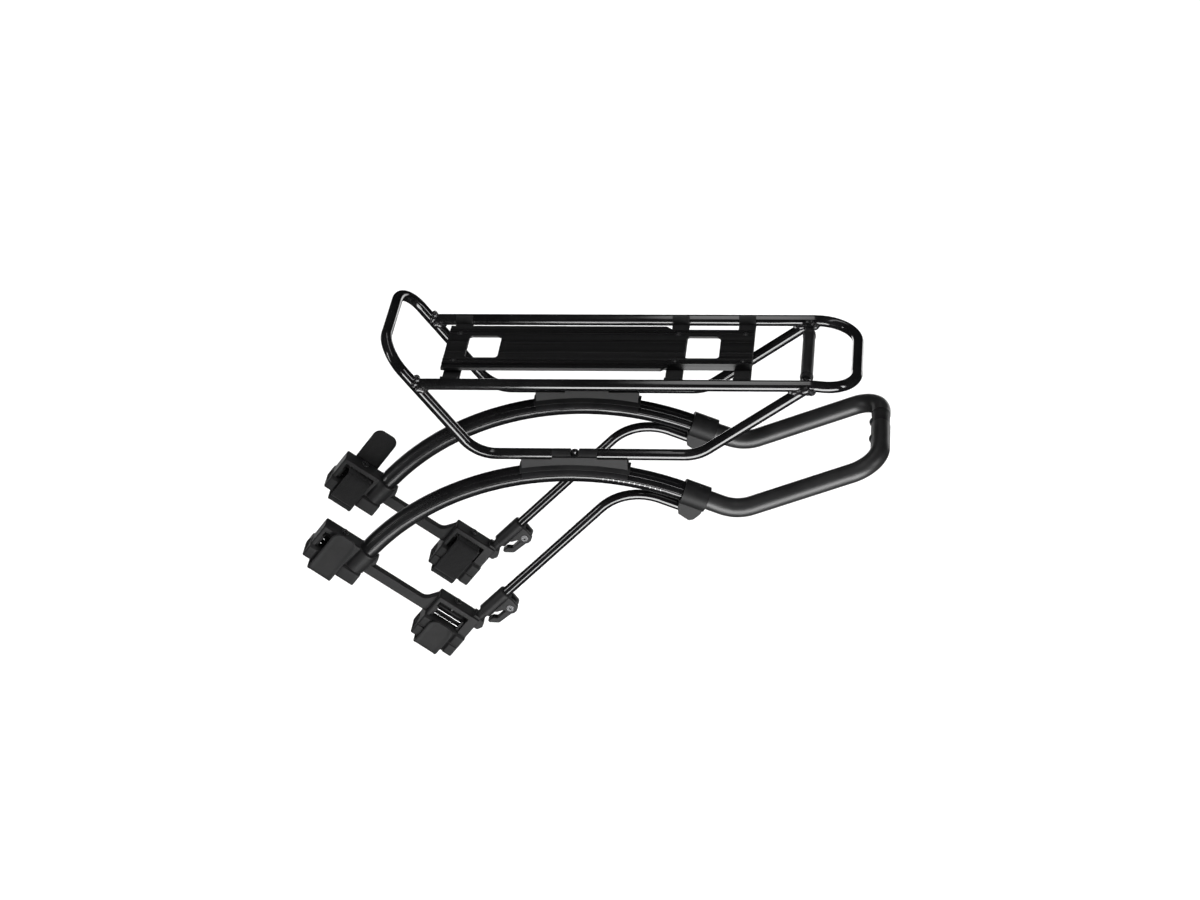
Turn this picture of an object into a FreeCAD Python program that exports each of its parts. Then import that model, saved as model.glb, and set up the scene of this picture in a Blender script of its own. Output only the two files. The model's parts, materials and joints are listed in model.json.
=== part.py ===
import FreeCAD, Part
import math
import os

# A bicycle rear rack that straps to the seat stays.  Millimetres.
# +X points to the back of the bicycle, +Z up, and -Y is the rider's left.
# The origin is on the mid plane, on the line that joins the centres of the
# left and right upper stay clamps.

V = FreeCAD.Vector
X_AXIS = V(1, 0, 0)
Y_AXIS = V(0, 1, 0)
Z_AXIS = V(0, 0, 1)
ORIGIN = V(0, 0, 0)
SIDES = (("left", -1), ("right", 1))

# ---- Driving dimensions ----------------------------------------------------
half_track = 57.0           # mid plane to the centre of every side tube

arc_radius = 251.5          # the arms follow a circle about the wheel
arc_x = 225.1               # centre of that circle
arc_z = -153.4
arm_d = 17.5
release_angle = 47.0        # slope of the arm's front end and of the release travel
collar_angle = 25.0         # place of the collar, back from the arc's crown

top_rail_z = 186.1
low_rail_z = 116.1
rail_d = 10.0
hoop_x = 67.1               # crossbar of the front hoop
hoop_z = 221.2
leg_angle = 54.5            # slope of the hoop's legs
stay_rise = 35.5            # slope of the rear stays
rear_foot_x = 335.6         # where a rear stay would leave the lower rail
tail_x = 473.1              # crossbar behind the deck
tail_dip_x = 438.1          # the tail slopes down from here
tail_dip = 4.5

loop_d = 17.0
loop_rise = 21.4            # slope of the loop behind the elbows
loop_end_x = 493.1
loop_end_z = 108.2
strut_d = 9.0
strut_angle = 45.4

saddle_front_x = 181.6
saddle_back_x = 274.6
seam_front_x = 208.6
seam_back_x = 248.1

deck_front_x = 112.6
deck_back_x = 382.6
deck_half = 36.8
lip_width = 7.0
lip_end_x = 303.6

bracket_angle = 38.0        # the brackets slope down towards the back
stay_tilt = 3.5             # the seat stay is steeper than the brackets by this
stay_r = 8.5                # seat stay that the pads fit
clamp_spacing = 118.0       # upper to lower clamp along the seat stay
block_half = 7.5            # half thickness of a bracket block
block_base = -23.5          # under face of both blocks, below their top face

running_gap = 0.05
moving_gap = 0.3
weld_gap = 0.02

# ---- Values worked out from them -------------------------------------------
rail_r = rail_d / 2
arm_r = arm_d / 2
loop_r = loop_d / 2
strut_r = strut_d / 2
release = math.radians(release_angle)
release_dir = V(math.cos(release), 0, math.sin(release))

# The upper block's local frame: x along its top edge, z square to it.
upper_clamp_s = 25.5
upper_clamp_t = -34.5
tilt = math.radians(stay_tilt)
lower_s = 123.0
lower_t = 1.3
lower_clamp_s = upper_clamp_s + clamp_spacing * math.cos(tilt) - lower_s
lower_clamp_t = upper_clamp_t - clamp_spacing * math.sin(tilt) - lower_t


# ---- Helpers ---------------------------------------------------------------
def vec_polar(angle_deg):
    """Unit vector in the XZ plane, at an angle above +X."""
    a = math.radians(angle_deg)
    return V(math.cos(a), 0, math.sin(a))


def on_arc(angle_deg, radius=arc_radius):
    """Point at a distance from the arc's centre, by its angle above +X."""
    return V(arc_x, 0, arc_z) + vec_polar(angle_deg) * radius


def route(points, bends):
    """Wire of straight runs, with an arc of the given radius at each corner."""
    edges = []
    last = points[0]
    for i, bend in enumerate(bends):
        corner = points[i + 1]
        back = (points[i] - corner).normalize()
        ahead = (points[i + 2] - corner).normalize()
        half = back.getAngle(ahead) / 2
        run = bend / math.tan(half)
        middle = (back + ahead).normalize()
        centre = corner + middle * (bend / math.sin(half))
        start = corner + back * run
        end = corner + ahead * run
        edges.append(Part.LineSegment(last, start).toShape())
        edges.append(Part.Arc(start, centre - middle * bend, end).toShape())
        last = end
    edges.append(Part.LineSegment(last, points[-1]).toShape())
    return Part.Wire(edges)


def rod(points, bends, radius):
    """Round bar along a route."""
    wire = route(points, bends)
    ring = Part.Wire(Part.makeCircle(radius, points[0], points[1] - points[0]))
    return wire.makePipeShell([ring], True, False)


def cylinder(radius, start, end):
    return Part.makeCylinder(radius, (end - start).Length, start, end - start)


def box(x0, x1, y0, y1, z0, z1):
    return Part.makeBox(x1 - x0, y1 - y0, z1 - z0, V(x0, y0, z0))


def outline(points, bends, thickness, y_mid=0.0):
    """Plate in the XZ plane from a closed outline, with a radius at each corner."""
    count = len(points)
    corners = [V(x, y_mid - thickness / 2, z) for x, z in points]
    edges = []
    ends = []
    for i, bend in enumerate(bends):
        corner = corners[i]
        back = (corners[i - 1] - corner).normalize()
        ahead = (corners[(i + 1) % count] - corner).normalize()
        if bend == 0:
            ends.append((corner, None, corner))
            continue
        half = back.getAngle(ahead) / 2
        run = bend / math.tan(half)
        middle = (back + ahead).normalize()
        apex = corner + middle * (bend / math.sin(half) - bend)
        ends.append((corner + back * run, apex, corner + ahead * run))
    for i, (start, apex, end) in enumerate(ends):
        if apex is not None:
            edges.append(Part.Arc(start, apex, end).toShape())
        following = ends[(i + 1) % count][0]
        if (following - end).Length > 1e-6:
            edges.append(Part.LineSegment(end, following).toShape())
    face = Part.Face(Part.Wire(edges))
    return face.extrude(V(0, thickness, 0))


def band(points, bends, thickness, x0, x1):
    """Flat band of even thickness that follows a route in the YZ plane."""
    path = route([V(x0, y, z) for y, z in points], bends)
    first = (V(0, *points[1]) - V(0, *points[0])).normalize()
    across = first.cross(X_AXIS) * (thickness / 2)
    start = V(x0, *points[0])
    corners = [start + across, start - across]
    wide = V(x1 - x0, 0, 0)
    ring = corners + [corners[1] + wide, corners[0] + wide, corners[0]]
    section = Part.makePolygon(ring)
    return path.makePipeShell([section], True, False)


def fuse(shapes):
    solid = shapes[0].multiFuse(shapes[1:]) if len(shapes) > 1 else shapes[0]
    return solid.removeSplitter()


def largest(shape):
    """The biggest of a shape's separate solids."""
    return max(shape.Solids, key=lambda solid: solid.Volume)


def moved(shape, vector):
    copy = shape.copy()
    copy.translate(vector)
    return copy


def ring_sector(centre_y, centre_z, inner, outer, from_deg, to_deg, x0, x1):
    """Part of a tube wall along X, between two angles measured in the YZ plane."""
    def at(radius, degrees):
        a = math.radians(degrees)
        return V(x0, centre_y + radius * math.cos(a), centre_z + radius * math.sin(a))
    mid = (from_deg + to_deg) / 2
    edges = [
        Part.Arc(at(outer, from_deg), at(outer, mid), at(outer, to_deg)).toShape(),
        Part.LineSegment(at(outer, to_deg), at(inner, to_deg)).toShape(),
        Part.Arc(at(inner, to_deg), at(inner, mid), at(inner, from_deg)).toShape(),
        Part.LineSegment(at(inner, from_deg), at(outer, from_deg)).toShape(),
    ]
    return Part.Face(Part.Wire(edges)).extrude(V(x1 - x0, 0, 0))


def from_upper(shape, side):
    """Moves a shape from the upper block's local frame to the rack's frame."""
    placed = moved(shape, V(-upper_clamp_s, 0, -upper_clamp_t))
    placed.rotate(ORIGIN, Y_AXIS, bracket_angle)
    placed.translate(V(0, side * half_track, 0))
    return placed


def from_lower(shape, side):
    """The same, from the lower block's local frame."""
    return from_upper(moved(shape, V(lower_s, 0, lower_t)), side)


def lower_point(s, t):
    """Point of the lower block's local frame, in the rack's frame, on the mid plane."""
    p = V(lower_s + s - upper_clamp_s, 0, lower_t + t - upper_clamp_t)
    turn = FreeCAD.Rotation(Y_AXIS, bracket_angle)
    return turn.multVec(p)


def save(shape, name):
    shape.exportStep("parts/" + name + ".step")


# ---- Platform: tubes ---------------------------------------------------------
def leg_point(z):
    """Centre line of the hoop's legs at a height."""
    return V(hoop_x + (hoop_z - z) / math.tan(math.radians(leg_angle)), 0, z)


def front_hoop_tube():
    """One tube: left lower rail, leg, crossbar, leg, right lower rail."""
    bend_low = 35.0
    bend_top = 28.0
    foot = leg_point(low_rail_z)
    top = leg_point(hoop_z)
    rail_end = V(seam_front_x - weld_gap, 0, low_rail_z)
    left = V(0, -half_track, 0)
    right = V(0, half_track, 0)
    points = [rail_end + left, foot + left, top + left, top + right, foot + right, rail_end + right]
    return rod(points, [bend_low, bend_top, bend_top, bend_low], rail_r)


def top_loop_tube():
    """Both upper rails and the tail crossbar, from one tube."""
    bend_tail = 30.0
    bend_dip = 60.0
    front = leg_point(top_rail_z).x
    tail_z = top_rail_z - tail_dip
    points = []
    for y in (-half_track, half_track):
        run = [V(front, y, top_rail_z), V(tail_dip_x, y, top_rail_z), V(tail_x, y, tail_z)]
        points += run if y < 0 else run[::-1]
    tube = rod(points, [bend_dip, bend_tail, bend_tail, bend_dip], rail_r)
    reach = rail_d
    clear = []
    for side in (-1, 1):
        y = V(0, side * half_track, 0)
        low = leg_point(top_rail_z - 2 * reach) + y
        high = leg_point(top_rail_z + 2 * reach) + y
        clear.append(cylinder(rail_r + weld_gap, low, high))
    return largest(tube.cut(clear))


stay_top_x = rear_foot_x + (top_rail_z - low_rail_z) / math.tan(math.radians(stay_rise))


def rear_stay_rod(side, radius):
    """Lower rail behind the saddle, and the rise to the upper rail's centre."""
    bend = 35.0
    y = side * half_track
    start = seam_back_x + weld_gap
    points = [V(start, y, low_rail_z), V(rear_foot_x, y, low_rail_z), V(stay_top_x, y, top_rail_z)]
    return rod(points, [bend], radius)


def rail_space(side, x0, x1):
    """Room for a straight part of an upper rail."""
    y = side * half_track
    return cylinder(rail_r + weld_gap, V(x0, y, top_rail_z), V(x1, y, top_rail_z))


def rear_stay_tube(side):
    stay = rear_stay_rod(side, rail_r)
    return largest(stay.cut(rail_space(side, stay_top_x - 40, stay_top_x + 40)))


# ---- Platform: light bar ---------------------------------------------------
light_bar_x = 430.1
light_bar_z = top_rail_z - 3.5
light_bar_r = 4.0
sleeve_r = 5.4
sleeve_half = 40.5
bead_r = 5.8
bead_half = 0.8
bead_inset = 5.0            # from the sleeve's end to the middle of its bead


def across_tail(radius, y0, y1):
    """Cylinder on the light bar's centre line."""
    return cylinder(radius, V(light_bar_x, y0, light_bar_z), V(light_bar_x, y1, light_bar_z))


def light_bar():
    """Thin tube across the tail, between the upper rails."""
    bar = across_tail(light_bar_r, -half_track, half_track)
    tubes = []
    for side in (-1, 1):
        tubes.append(rail_space(side, light_bar_x - 20, light_bar_x + 20))
        tubes.append(rear_stay_rod(side, rail_r + weld_gap))
    return largest(bar.cut(tubes))


def light_bar_sleeve():
    """Plastic sleeve on that tube, with a bead near each end."""
    sleeve = across_tail(sleeve_r, -sleeve_half, sleeve_half)
    sleeve = sleeve.makeChamfer(0.6, [e for e in sleeve.Edges if e.Closed])
    beads = []
    for y in (bead_inset - sleeve_half, sleeve_half - bead_inset):
        beads.append(across_tail(bead_r, y - bead_half, y + bead_half))
    bore = across_tail(light_bar_r + weld_gap, -sleeve_half - 1, sleeve_half + 1)
    return fuse([sleeve] + beads).cut(bore)


# ---- Platform: deck ----------------------------------------------------------
deck_top = top_rail_z + 5.0
deck_plate = 2.0
deck_wall = 6.0
wall_half = deck_half - lip_width
strip_top = deck_top - deck_wall
strip_thick = 2.5
strip_width = 15.0
strip_places = (("front", deck_front_x + 2.0), ("middle", 308.6), ("rear", deck_back_x - strip_width))
rib_height = 0.7
rib_width = 1.6
rib_places = (22.5, 26.0, 29.5)
groove_y = 9.0
groove_w = 1.0
groove_depth = 0.5
wall_thick = 2.2
lip_edge = 1.6              # the lips' outer edges turn down by 1 mm over this width
window_half = 19.0
window_places = ((131.1, 160.1), (323.6, 353.6))
window_corner = 3.5
rivet_y = wall_half - 6.0
rivet_r = 1.6
rivet_head_r = 3.0
rivet_tail_r = 2.8
rivet_tail = 1.2
dome_r = 4.0
dome_rise = 1.1


def track_plate():
    """Extruded deck: flat centre, raised ribs, outward lips over an undercut."""
    z_low = deck_top - deck_plate
    pieces = [box(deck_front_x, deck_back_x, -deck_half, deck_half, z_low, deck_top)]
    for side in (-1, 1):
        inner, outer = sorted((side * (wall_half - wall_thick), side * wall_half))
        pieces.append(box(deck_front_x, deck_back_x, inner, outer, strip_top, z_low))
        inner, outer = sorted((side * (deck_half - lip_edge), side * deck_half))
        pieces.append(box(deck_front_x, deck_back_x, inner, outer, z_low - 1.0, z_low))
        for y in rib_places:
            middle = side * y
            pieces.append(box(deck_front_x, deck_back_x, middle - rib_width / 2, middle + rib_width / 2,
                              deck_top, deck_top + rib_height))
    plate = fuse(pieces)
    cut_low = deck_top - 8
    cutters = []
    for side in (-1, 1):
        middle = side * groove_y
        cutters.append(box(deck_front_x - 1, deck_back_x + 1, middle - groove_w / 2, middle + groove_w / 2,
                           deck_top - groove_depth, deck_top + 1))
        behind = deck_back_x + 1
        corner = [
            V(lip_end_x, side * (deck_half + 1), cut_low),
            V(lip_end_x + lip_width + 1, side * wall_half, cut_low),
            V(behind, side * wall_half, cut_low),
            V(behind, side * (deck_half + 1), cut_low),
        ]
        face = Part.Face(Part.makePolygon(corner + corner[:1]))
        cutters.append(face.extrude(V(0, 0, 12)))
    for x0, x1 in window_places:
        opening = box(x0, x1, -window_half, window_half, cut_low, deck_top + 2)
        upright = [e for e in opening.Edges if abs(e.tangentAt(e.FirstParameter).z) > 0.9]
        cutters.append(opening.makeFillet(window_corner, upright))
    for _name, x in strip_places:
        for side in (-1, 1):
            place = V(x + strip_width / 2, side * rivet_y, 0)
            cutters.append(Part.makeCylinder(rivet_r + weld_gap, 12, place + V(0, 0, cut_low)))
            cutters.append(Part.makeCylinder(rivet_head_r + weld_gap, 3, place + V(0, 0, deck_top)))
    return plate.cut(cutters)


flange_thick = 1.8
flange_spread = 62          # each flange's half angle about its rail


def cross_bracket(x):
    """Sheet strip under the deck, with an end flange against each upper rail."""
    reach = half_track - rail_r
    z_low = strip_top - strip_thick
    pieces = [box(x, x + strip_width, -reach, reach, z_low, strip_top)]
    cutters = []
    for side in (-1, 1):
        facing = 180 if side > 0 else 0
        pieces.append(ring_sector(side * half_track, top_rail_z, rail_r + weld_gap, rail_r + flange_thick,
                                  facing - flange_spread, facing + flange_spread, x, x + strip_width))
        cutters.append(rail_space(side, x - 1, x + strip_width + 1))
        place = V(x + strip_width / 2, side * rivet_y, z_low - 1)
        cutters.append(Part.makeCylinder(rivet_r + weld_gap, strip_thick + 2, place))
    return fuse(pieces).cut(cutters)


def plate_rivets():
    """Rivets that hold the deck's walls to the strips."""
    rivets = []
    for _name, x in strip_places:
        for side in (-1, 1):
            place = V(x + strip_width / 2, side * rivet_y, 0)
            low = strip_top - strip_thick - rivet_tail
            shank = Part.makeCylinder(rivet_r, deck_top - low + 0.6, place + V(0, 0, low))
            tail = Part.makeCylinder(rivet_tail_r, rivet_tail - weld_gap, place + V(0, 0, low))
            head = Part.makeSphere(dome_r, place + V(0, 0, deck_top + dome_rise - dome_r))
            cap = head.common(Part.makeCylinder(rivet_head_r, 3, place + V(0, 0, deck_top + weld_gap)))
            rivets.append(fuse([shank, tail, cap]))
    return Part.makeCompound(rivets)


# ---- Platform: saddles -------------------------------------------------------
shoe_inner = arm_r + moving_gap
shoe_outer = arm_r + 2.2
shoe_spread = 78            # half angle of the shoe about the arm
skirt_outer = shoe_outer + 1.6
skirt_spread = 52
saddle_half = 6.6
saddle_bolt_x = (seam_front_x + seam_back_x) / 2
saddle_bolt_r = 2.5
bolt_head_r = 2.9
notch_floor = low_rail_z + 0.5
notch_top = low_rail_z + 6
arm_crown_z = arc_z + arc_radius


def arc_angle(x, radius):
    """Angle above +X of the point of the arc's plane with this x and radius."""
    return math.degrees(math.acos((x - arc_x) / radius))


def sweep_about_arc(face, x0, x1):
    """Revolves a section that stands on the crown of the arc, between two x places."""
    a0 = arc_angle(x0, arc_radius)
    a1 = arc_angle(x1, arc_radius)
    turned = face.copy()
    centre = V(arc_x, 0, arc_z)
    turned.rotate(centre, Y_AXIS, 90 - a0)
    return turned.revolve(centre, Y_AXIS, a0 - a1)


def half_ring_face(inner, outer, spread):
    """Arch section at the arc's crown, in the YZ plane, open downwards."""
    def at(radius, degrees):
        a = math.radians(degrees)
        return V(arc_x, radius * math.sin(a), arm_crown_z + radius * math.cos(a))
    edges = [
        Part.Arc(at(outer, -spread), at(outer, 0), at(outer, spread)).toShape(),
        Part.LineSegment(at(outer, spread), at(inner, spread)).toShape(),
        Part.Arc(at(inner, spread), at(inner, 0), at(inner, -spread)).toShape(),
        Part.LineSegment(at(inner, -spread), at(outer, -spread)).toShape(),
    ]
    return Part.Face(Part.Wire(edges))


def saddle_bolt_room(top):
    """Hole for a saddle's bolt, from the arm's centre line up."""
    return cylinder(saddle_bolt_r + weld_gap, V(saddle_bolt_x, 0, arm_crown_z), V(saddle_bolt_x, 0, top))


def saddle_shoe(side):
    """Arched liner that slides on the arm."""
    section = half_ring_face(shoe_inner, shoe_outer, shoe_spread)
    shoe = sweep_about_arc(section, saddle_front_x + 1, saddle_back_x - 1)
    return moved(shoe.cut(saddle_bolt_room(low_rail_z)), V(0, side * half_track, 0))


def shoe_space():
    """Room for the shoe along the arm, longer than the saddle."""
    circle = Part.makeCircle(shoe_outer + weld_gap, V(arc_x, 0, arm_crown_z), X_AXIS)
    return sweep_about_arc(Part.Face(Part.Wire(circle)), saddle_front_x - 30, saddle_back_x + 30)


def low_rail_space(x0, x1):
    """Room for a straight part of the lower rail, on the mid plane."""
    return cylinder(rail_r + weld_gap, V(x0, 0, low_rail_z), V(x1, 0, low_rail_z))


def saddle(side):
    """Moulded block between the lower rail and the shoe, with a plug in each rail tube."""
    body = box(saddle_front_x, saddle_back_x, -saddle_half, saddle_half, arm_crown_z, low_rail_z)
    skirt_section = half_ring_face(shoe_outer + weld_gap, skirt_outer, skirt_spread)
    skirt = sweep_about_arc(skirt_section, saddle_front_x, saddle_back_x)
    round_part = cylinder(rail_r, V(seam_front_x, 0, low_rail_z), V(seam_back_x, 0, low_rail_z))
    cutters = [
        shoe_space(),
        low_rail_space(saddle_front_x - 5, seam_front_x),
        low_rail_space(seam_back_x, saddle_back_x + 5),
    ]
    slot_low = low_rail_z - 1.5
    above = box(saddle_front_x - 1, saddle_back_x + 1, -12, 12, slot_low, low_rail_z + 12)
    keep = box(seam_front_x, seam_back_x, -12, 12, slot_low - 1, low_rail_z + 13)
    cutters.append(above.cut(keep))
    solid = largest(fuse([body, skirt, round_part]).cut(cutters))
    notch = outline([(saddle_bolt_x - 4.4, notch_top), (saddle_bolt_x - 3.0, notch_floor),
                     (saddle_bolt_x + 3.0, notch_floor), (saddle_bolt_x + 4.4, notch_top)],
                    [0, 1, 1, 0], 24)
    return moved(solid.cut([notch, saddle_bolt_room(notch_top)]), V(0, side * half_track, 0))


def saddle_bolts():
    """A cap screw in each saddle's notch, down to the shoe."""
    bolts = []
    for _name, side in SIDES:
        low = V(saddle_bolt_x, side * half_track, arm_crown_z + shoe_inner + 0.4)
        seat = V(saddle_bolt_x, side * half_track, notch_floor + weld_gap)
        head = cylinder(bolt_head_r, seat, seat + V(0, 0, 3.2))
        socket = hexagon(1.6, seat + V(0, 0, 1.6), 3)
        bolts.append(fuse([cylinder(saddle_bolt_r, low, seat), head]).cut(socket))
    return Part.makeCompound(bolts)


def hexagon(radius, base, height):
    """Upright hexagonal prism, for a key socket."""
    points = []
    for i in range(7):
        a = math.radians(60 * i)
        points.append(base + V(radius * math.cos(a), radius * math.sin(a), 0))
    return Part.Face(Part.makePolygon(points)).extrude(V(0, 0, height))


# ---- Frame: arms, collars, loop and struts ----------------------------------
arm_front_angle = 90 + release_angle
arm_back_angle = 90 - collar_angle + 2.3    # the arc's last 2.3 degrees run straight in the collar
collar_half = 11.5
plug_r = 8.2
plug_length = 21.0
groove_r = 0.7
groove_angles = (38, 142, 5, 175)
plug_chamfer = 1.0
tongue = collar_half - 1.5


def arm(side):
    """Curved bar with two fine grooves on each face; its front end is a plug."""
    crown = V(arc_x, 0, arm_crown_z)
    disc = Part.Face(Part.Wire(Part.makeCircle(arm_r, crown, X_AXIS)))
    grooves = []
    for degrees in groove_angles:
        a = math.radians(degrees)
        place = crown + V(0, arm_r * math.cos(a), arm_r * math.sin(a))
        grooves.append(Part.Face(Part.Wire(Part.makeCircle(groove_r, place, X_AXIS))))
    section = disc.cut(grooves)
    front = on_arc(arm_front_angle)
    back = on_arc(arm_back_angle)
    curved = sweep_about_arc(section, front.x, back.x)
    plug = cylinder(plug_r, front, front - release_dir * plug_length)
    far_rim = [e for e in plug.Edges if e.Closed and (e.CenterOfMass - front).Length > 5]
    plug = plug.makeChamfer(plug_chamfer, far_rim)
    heading = vec_polar(arm_back_angle - 90)
    straight = cylinder(arm_r, back, back + heading * tongue)
    return moved(fuse([curved, plug, straight]), V(0, side * half_track, 0))


collar_mid = on_arc(arm_back_angle) + vec_polar(arm_back_angle - 90) * (collar_half - 1.0)
collar_dir = vec_polar(arm_back_angle - 90)
collar_up = V(-collar_dir.z, 0, collar_dir.x)
strut_drop = 15.0           # strut centre line below the arm's, in the collar


collar_r = 11.4
collar_boss_half = 8.2
grub_r = 1.6
grub_x = 2.0


def collar(side):
    """Moulded collar that joins an arm, the loop and a strut."""
    ring = Part.makeCylinder(collar_r, 2 * collar_half, V(-collar_half, 0, 0), X_AXIS)
    low = -strut_drop - 6.6
    boss = outline([(-collar_half, 0), (collar_half, 0), (collar_half - 1.5, -12),
                    (collar_half - 5.0, low + 2.5), (3.0, low), (-collar_half + 3.5, low + 3.0),
                    (-collar_half + 0.6, -12)],
                   [0, 0, 2, 2, 3, 2, 2], 2 * collar_boss_half)
    solid = fuse([ring, boss])
    solid = solid.cut([
        Part.makeCylinder(arm_r + weld_gap, 60, V(-30, 0, 0), X_AXIS),
        Part.makeCylinder(strut_r + weld_gap, 30, V(-22, 0, -strut_drop), X_AXIS),
        Part.makeCylinder(grub_r, 20, V(grub_x, 0, 0), Z_AXIS),
    ])
    return place_collar(largest(solid), side)


def place_collar(shape, side):
    placed = shape.copy()
    placed.rotate(ORIGIN, Y_AXIS, 90 - arm_back_angle)
    placed.translate(collar_mid + V(0, side * half_track, 0))
    return placed


def collar_screws():
    """Grub screw in the top of each collar."""
    screws = []
    for _name, side in SIDES:
        grub = Part.makeCylinder(grub_r - weld_gap, 2.6, V(grub_x, 0, arm_r + 2 * weld_gap), Z_AXIS)
        socket = hexagon(0.8, V(grub_x, 0, arm_r + 1.6), 3)
        screws.append(place_collar(grub.cut(socket), side))
    return Part.makeCompound(screws)


def loop_corner():
    """Where the elbow's two straight runs would meet."""
    rise = math.tan(math.radians(loop_rise))
    start = collar_mid
    slope = collar_dir.z / collar_dir.x
    x = (loop_end_z - start.z + slope * start.x - rise * loop_end_x) / (slope - rise)
    return V(x, 0, start.z + slope * (x - start.x))


loop_bend = 26.0
loop_elbow = 35.0
loop_gap_y = (5.5, 25.0)    # the joint sleeve shows between these
loop_spigot_r = 6.5
loop_spigot = 22.0
loop_screw_y = (13.0, -15.0)
loop_screw_r = 2.0
loop_head_r = 3.6
loop_head_sink = 0.6


def across_loop(radius, y0, y1):
    """Cylinder on the centre line of the loop's crossbar."""
    return cylinder(radius, V(loop_end_x, y0, loop_end_z), V(loop_end_x, y1, loop_end_z))


def spigot(radius, gap):
    """Core of the joint sleeve, or with a gap, the room for it."""
    y0, y1 = loop_gap_y
    extra = 1.0 if gap else 0.0
    return across_loop(radius + gap, y0 - loop_spigot - extra, y1 + loop_spigot / 4 + extra)


def loop_screw(y, gap):
    """Button-head screw in the front face of the loop's crossbar."""
    seat = V(loop_end_x - loop_r, y, loop_end_z)
    shank = cylinder(loop_screw_r + gap, seat + V(8.0, 0, 0), seat)
    dome = Part.makeSphere(5.0, seat + V(3.4, 0, 0))
    head = dome.common(cylinder(loop_head_r, seat + V(-3, 0, 0), seat + V(loop_head_sink, 0, 0)))
    if gap:
        room = cylinder(loop_head_r + gap, seat - V(5, 0, 0), seat + V(loop_head_sink + gap, 0, 0))
        return shank.fuse(room)
    return fuse([shank, head])


def loop_tube(side):
    """One J-shaped half of the loop behind the wheel."""
    y = side * half_track
    stop = loop_gap_y[0] if side < 0 else loop_gap_y[1]
    first = collar_mid + collar_dir * weld_gap
    elbow = loop_corner()
    points = [
        V(first.x, y, first.z),
        V(elbow.x, y, elbow.z),
        V(loop_end_x, y, loop_end_z),
        V(loop_end_x, stop, loop_end_z),
    ]
    tube = rod(points, [loop_elbow, loop_bend], loop_r)
    screws = [loop_screw(place, weld_gap) for place in loop_screw_y]
    return tube.cut([spigot(loop_spigot_r, weld_gap)] + screws)


def loop_joint_sleeve():
    """Sleeve between the loop's halves, with a spigot at each end."""
    y0, y1 = loop_gap_y
    ring = across_loop(loop_r - 0.5, y0 + weld_gap, y1 - weld_gap)
    screws = [loop_screw(place, weld_gap) for place in loop_screw_y]
    return fuse([ring, spigot(loop_spigot_r, 0)]).cut(screws)


def loop_screws():
    return Part.makeCompound([loop_screw(place, 0) for place in loop_screw_y])


# ---- Frame: struts and their feet --------------------------------------------
foot_s = 42.8               # lower end of a foot, in the lower block's frame
foot_t = 6.8
foot_start = 1.5            # ends of the foot, along it from that point
foot_end_x = 31.4
foot_half = 6.6
strut_dir = vec_polar(strut_angle)
foot_end = lower_point(foot_s, foot_t)
stub_r = 4.5
stub_reach = 15.0           # how far the bracket's stub reaches into the foot
pivot_along = 23.9          # lever pivot, along the foot and to its lower side
pivot_down = 11.8
hub_r = 5.0
cheek_r = 6.2
lever_half = 3.2
pivot_r = 1.75
pivot_head_r = 3.2
pivot_seat = foot_half - 1.4    # the pivot screw's head sits this far off the mid plane
strut_stop = stub_reach + 3.0   # lower end of the strut, in the foot


def strut_corner():
    """Where the strut's two straight runs would meet."""
    first = collar_mid - collar_up * strut_drop
    slope = collar_dir.z / collar_dir.x
    rise = math.tan(math.radians(strut_angle))
    x = (foot_end.z - first.z + slope * first.x - rise * foot_end.x) / (slope - rise)
    return V(x, 0, first.z + slope * (x - first.x))


def strut(side):
    """Thin bar from the collar, over a wide bend, down to the foot."""
    bend = 48.0
    in_collar = 10.0
    y = V(0, side * half_track, 0)
    first = collar_mid - collar_up * strut_drop - collar_dir * (collar_half - in_collar)
    corner = strut_corner()
    last = foot_end + strut_dir * strut_stop
    return rod([first + y, corner + y, last + y], [bend], strut_r)


def foot_frame(shape, side):
    """Places a shape made along +X from the foot's lower end."""
    placed = shape.copy()
    placed.rotate(ORIGIN, Y_AXIS, -strut_angle)
    placed.translate(foot_end + V(0, side * half_track, 0))
    return placed


def pivot_point():
    p = Part.Vertex(V(pivot_along, 0, -pivot_down))
    p.rotate(ORIGIN, Y_AXIS, -strut_angle)
    return p.Point + foot_end


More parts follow.
